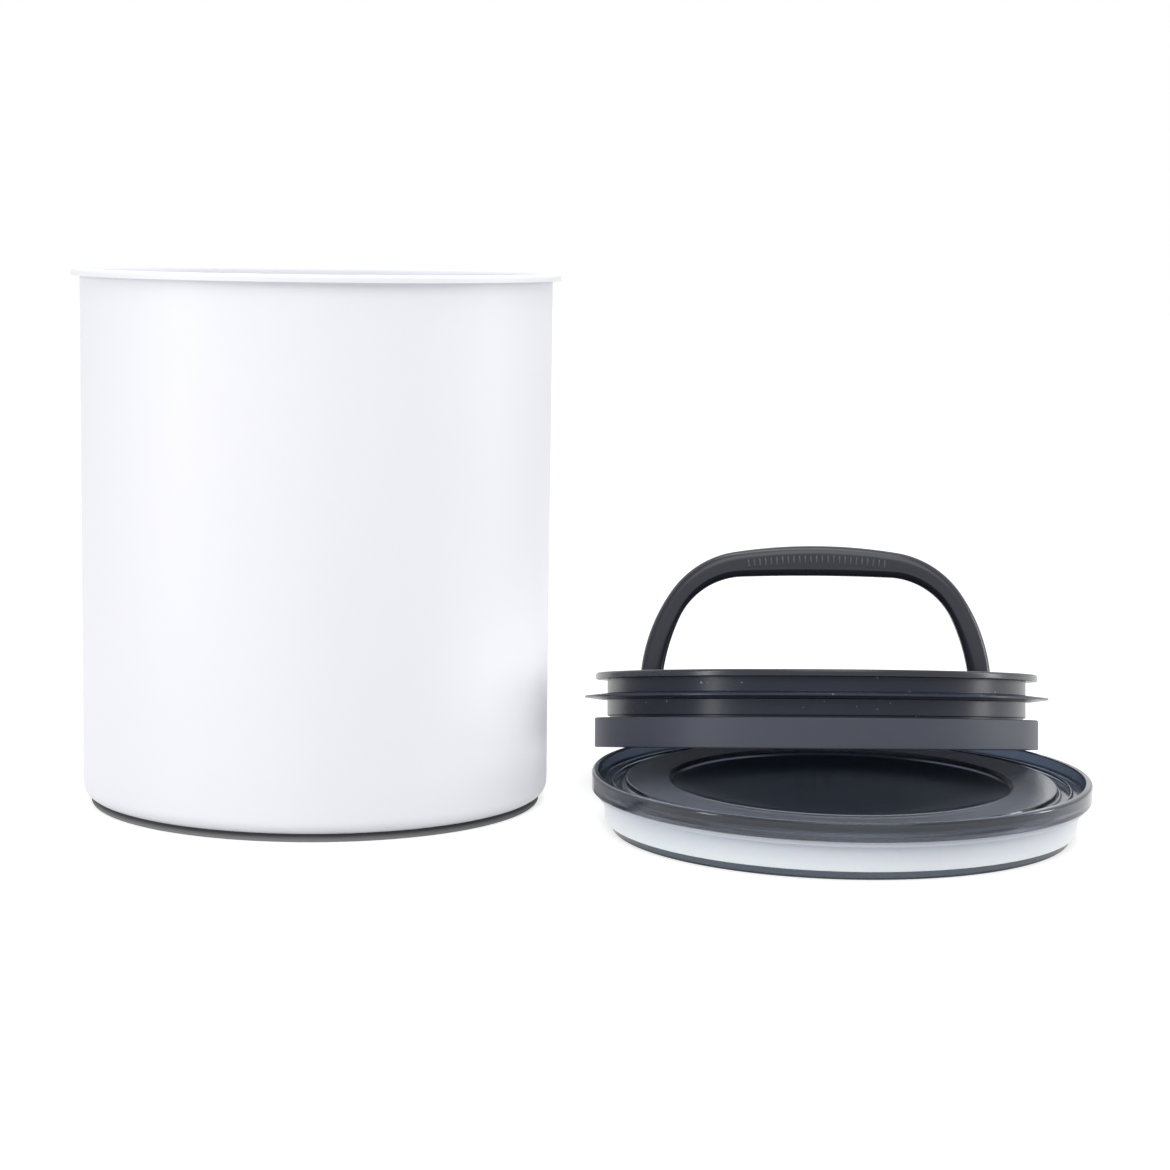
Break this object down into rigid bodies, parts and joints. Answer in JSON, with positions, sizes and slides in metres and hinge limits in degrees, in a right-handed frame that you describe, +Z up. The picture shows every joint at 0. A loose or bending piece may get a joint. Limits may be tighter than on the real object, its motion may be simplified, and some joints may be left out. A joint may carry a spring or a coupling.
{
  "type": "coffee canister with valve",
  "caption": "Open round steel coffee canister with its tinted outer lid lying flat beside it and a press-down inner lid with a bail handle and valve leaning on that lid.",
  "frame": {"origin": "centre of the canister's base, on the surface it stands on", "axes": "+Z up along the canister's axis, +X from the canister towards its lids, -Y towards the viewer of the picture"},
  "size_m": [0.3654, 0.2545, 0.1934],
  "materials": {
    "white_powder_coat": "matt powder coat on steel",
    "grey_rubber": "matt",
    "smoked_plastic": "polished, smoke tinted, translucent",
    "clear_silicone": "satin, milky translucent",
    "charcoal_plastic": "satin",
    "dark_silicone": "glossy",
    "grey_plastic": "fine matt",
    "steel": "bright drawn"
  },
  "bodies": {
    "canister": {"canister_shell": "white_powder_coat", "base_ring": "grey_rubber"},
    "outer_lid": {"outer_lid": "smoked_plastic", "outer_lid_gasket": "clear_silicone"},
    "inner_lid": {"inner_lid_top": "charcoal_plastic", "wiper_seal": "dark_silicone", "inner_lid_base": "grey_plastic", "pivot_pins": "steel", "valve_spring": "steel"},
    "handle": {"handle": "charcoal_plastic"},
    "valve": {"valve_bridge": "charcoal_plastic", "valve_stem": "steel", "valve_disc": "dark_silicone", "stem_clip": "steel"}
  },
  "joints": [
    {"name": "outer_lid_lift", "type": "slide", "parent": "canister", "child": "outer_lid", "axis": [0, 0, 1], "range_m": [0, 0.25]},
    {"name": "inner_lid_lift", "type": "slide", "parent": "outer_lid", "child": "inner_lid", "axis": [0, 0, 1], "range_m": [0, 0.25]},
    {"name": "handle_fold", "type": "hinge", "parent": "inner_lid", "child": "handle", "pos_m": [0.18629, 0.03365, 0.03499], "axis": [-1, -0.0006, -0.0068], "range_deg": [0, 90]},
    {"name": "valve_travel", "type": "slide", "parent": "inner_lid", "child": "valve", "axis": [-0.0068, 0.1762, 0.9843], "range_m": [-0.0025, 0], "deforming": ["valve_spring"]}
  ],
  "couplings": [
    {"joint": "valve_travel", "follows": "handle_fold", "m_per_rad": -0.00159}
  ]
}
